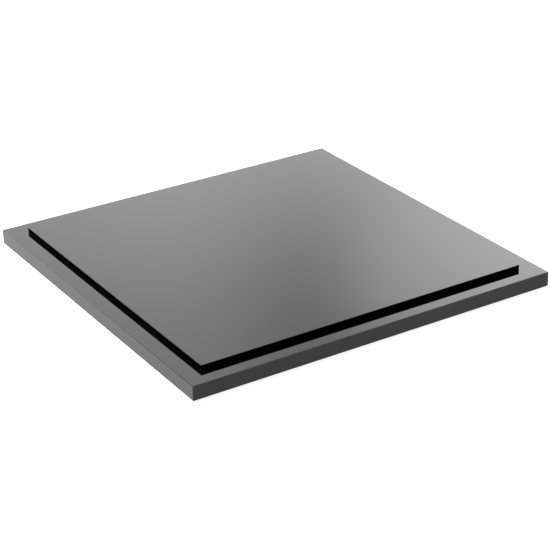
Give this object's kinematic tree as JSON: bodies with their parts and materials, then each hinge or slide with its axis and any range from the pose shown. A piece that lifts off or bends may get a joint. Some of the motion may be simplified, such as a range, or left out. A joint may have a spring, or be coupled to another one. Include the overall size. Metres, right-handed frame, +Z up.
{
  "type": "granite slab",
  "caption": "Square polished black granite slab in two tiers: a thin plate bonded centrally on a larger base plate, on low rubber pads.",
  "frame": {"origin": "centre of the slab's footprint, on the bench under the rubber pads", "axes": "+Z up, through the middle of both plates; +X to the right and -Y to the front, each square to two of the slab's sides"},
  "size_m": [0.305, 0.305, 0.0172],
  "materials": {
    "base_granite": "polished",
    "top_granite": "polished",
    "epoxy": "gloss",
    "pad_rubber": "matte",
    "adhesive": "satin"
  },
  "bodies": {
    "root": {"base_plate": "base_granite", "top_plate": "top_granite", "epoxy_bed": "epoxy", "pad_front_left": "pad_rubber", "pad_front_right": "pad_rubber", "pad_back_left": "pad_rubber", "pad_back_right": "pad_rubber", "film_front_left": "adhesive", "film_front_right": "adhesive", "film_back_left": "adhesive", "film_back_right": "adhesive"}
  },
  "joints": []
}
